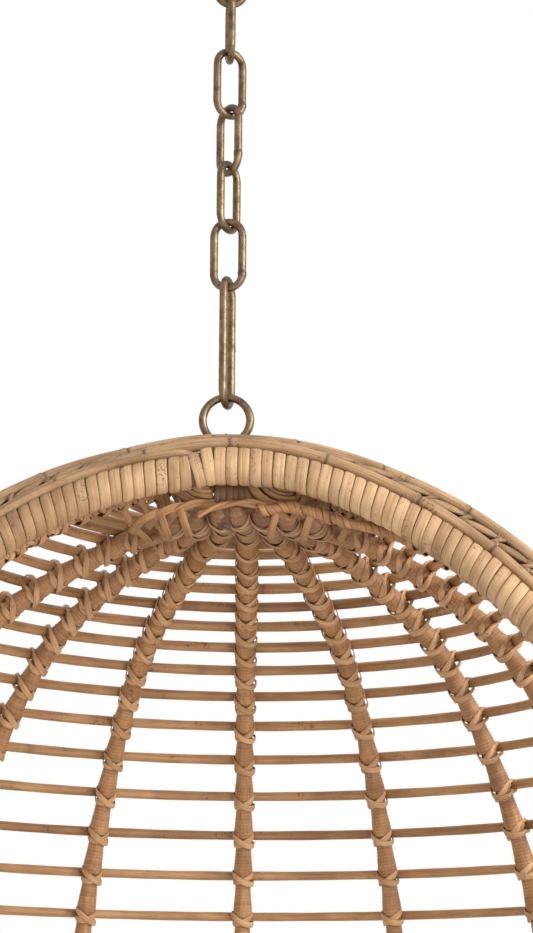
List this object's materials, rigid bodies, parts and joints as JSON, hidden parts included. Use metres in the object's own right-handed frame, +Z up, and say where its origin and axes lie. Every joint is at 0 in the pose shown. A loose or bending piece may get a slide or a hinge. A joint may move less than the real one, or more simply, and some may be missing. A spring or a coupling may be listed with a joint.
{
  "type": "hanging egg chair",
  "caption": "Egg-shaped rattan shell chair with a cane-wrapped front hoop, hung by a ring and a bronze chain from a ceiling swivel hook.",
  "frame": {"origin": "middle of the top face of the ceiling plate", "axes": "+Z up out of the ceiling face, the sitter faces -Y, +X to the right of someone looking at the open front"},
  "size_m": [1.0794, 0.7246, 1.9049],
  "materials": {
    "bronze": "steel wire and plate with a worn antique bronze finish",
    "steel": "plain zinc-plated steel",
    "light_cane": "natural light rattan cane, satin",
    "rib_cane": "natural split cane wrapping, satin",
    "rod_cane": "peeled round rattan core, honey brown, satin"
  },
  "bodies": {
    "ceiling_fitting": {"ceiling_plate": "bronze", "ceiling_screw_1": "bronze", "ceiling_screw_2": "bronze", "ceiling_screw_3": "bronze", "ceiling_screw_4": "bronze", "swivel_cup": "bronze"},
    "swivel": {"swivel_hook": "bronze"},
    "link_1": {"chain_link_1": "bronze"},
    "link_2": {"chain_link_2": "bronze"},
    "link_3": {"chain_link_3": "bronze"},
    "link_4": {"chain_link_4": "bronze"},
    "link_5": {"chain_link_5": "bronze"},
    "link_6": {"chain_link_6": "bronze"},
    "long_link_body": {"long_link": "bronze"},
    "ring": {"hanger_ring": "bronze"},
    "chair": {"eye_bolt": "bronze", "eye_bolt_washer": "steel", "eye_bolt_nut": "steel", "crown_hub": "rib_cane", "front_hoop": "light_cane", "shell_hoop": "rib_cane", "edge_pole_front": "light_cane", "edge_pole_middle": "light_cane", "edge_pole_back": "light_cane", "edge_lacing": "rib_cane", "rib_centre": "rib_cane", "rib_left_1": "rib_cane", "rib_right_1": "rib_cane", "rib_left_2": "rib_cane", "rib_right_2": "rib_cane", "rib_left_3": "rib_cane", "rib_right_3": "rib_cane", "rod_01": "rod_cane", "rod_02": "rod_cane", "rod_03": "rod_cane", "rod_04": "rod_cane", "rod_05": "rod_cane", "rod_06": "rod_cane", "rod_07": "rod_cane", "rod_08": "rod_cane", "rod_09": "rod_cane", "rod_10": "rod_cane", "rod_11": "rod_cane", "rod_12": "rod_cane", "rod_13": "rod_cane", "rod_14": "rod_cane", "rod_15": "rod_cane", "rod_16": "rod_cane", "rod_17": "rod_cane", "rod_18": "rod_cane", "rod_19": "rod_cane", "rod_21": "rod_cane", "rod_23": "rod_cane", "rod_25": "rod_cane", "rod_27": "rod_cane", "rod_29": "rod_cane", "rod_31": "rod_cane", "rod_33": "rod_cane", "rod_35": "rod_cane"}
  },
  "joints": [
    {"name": "swivel_turn", "type": "hinge", "parent": "ceiling_fitting", "child": "swivel", "pos_m": [0, 0, -0.03], "axis": [0, 0, 1], "continuous": true},
    {"name": "link_1_swing", "type": "hinge", "parent": "swivel", "child": "link_1", "pos_m": [0, 0, -0.078], "axis": [0, 1, 0], "range_deg": [-20, 20]},
    {"name": "link_2_swing", "type": "hinge", "parent": "link_1", "child": "link_2", "pos_m": [0, 0, -0.1425], "axis": [0.9903, 0.1392, 0], "range_deg": [-20, 20]},
    {"name": "link_3_swing", "type": "hinge", "parent": "link_2", "child": "link_3", "pos_m": [0, 0, -0.2072], "axis": [-0.1392, 0.9903, 0], "range_deg": [-20, 20]},
    {"name": "link_4_swing", "type": "hinge", "parent": "link_3", "child": "link_4", "pos_m": [0, 0, -0.2719], "axis": [0.8746, 0.4848, 0], "range_deg": [-20, 20]},
    {"name": "link_5_swing", "type": "hinge", "parent": "link_4", "child": "link_5", "pos_m": [0, 0, -0.3366], "axis": [0.6691, -0.7431, 0], "range_deg": [-20, 20]},
    {"name": "link_6_swing", "type": "hinge", "parent": "link_5", "child": "link_6", "pos_m": [0, 0, -0.4013], "axis": [0.5299, 0.848, 0], "range_deg": [-20, 20]},
    {"name": "long_link_swing", "type": "hinge", "parent": "link_6", "child": "long_link_body", "pos_m": [0, 0, -0.466], "axis": [0.9976, -0.0698, 0], "range_deg": [-20, 20]},
    {"name": "ring_swing", "type": "hinge", "parent": "long_link_body", "child": "ring", "pos_m": [0, 0, -0.5945], "axis": [0.2419, 0.9703, 0], "range_deg": [-20, 20]},
    {"name": "chair_swing", "type": "hinge", "parent": "ring", "child": "chair", "pos_m": [0, 0, -0.635], "axis": [1, 0, 0], "range_deg": [-20, 20]}
  ]
}
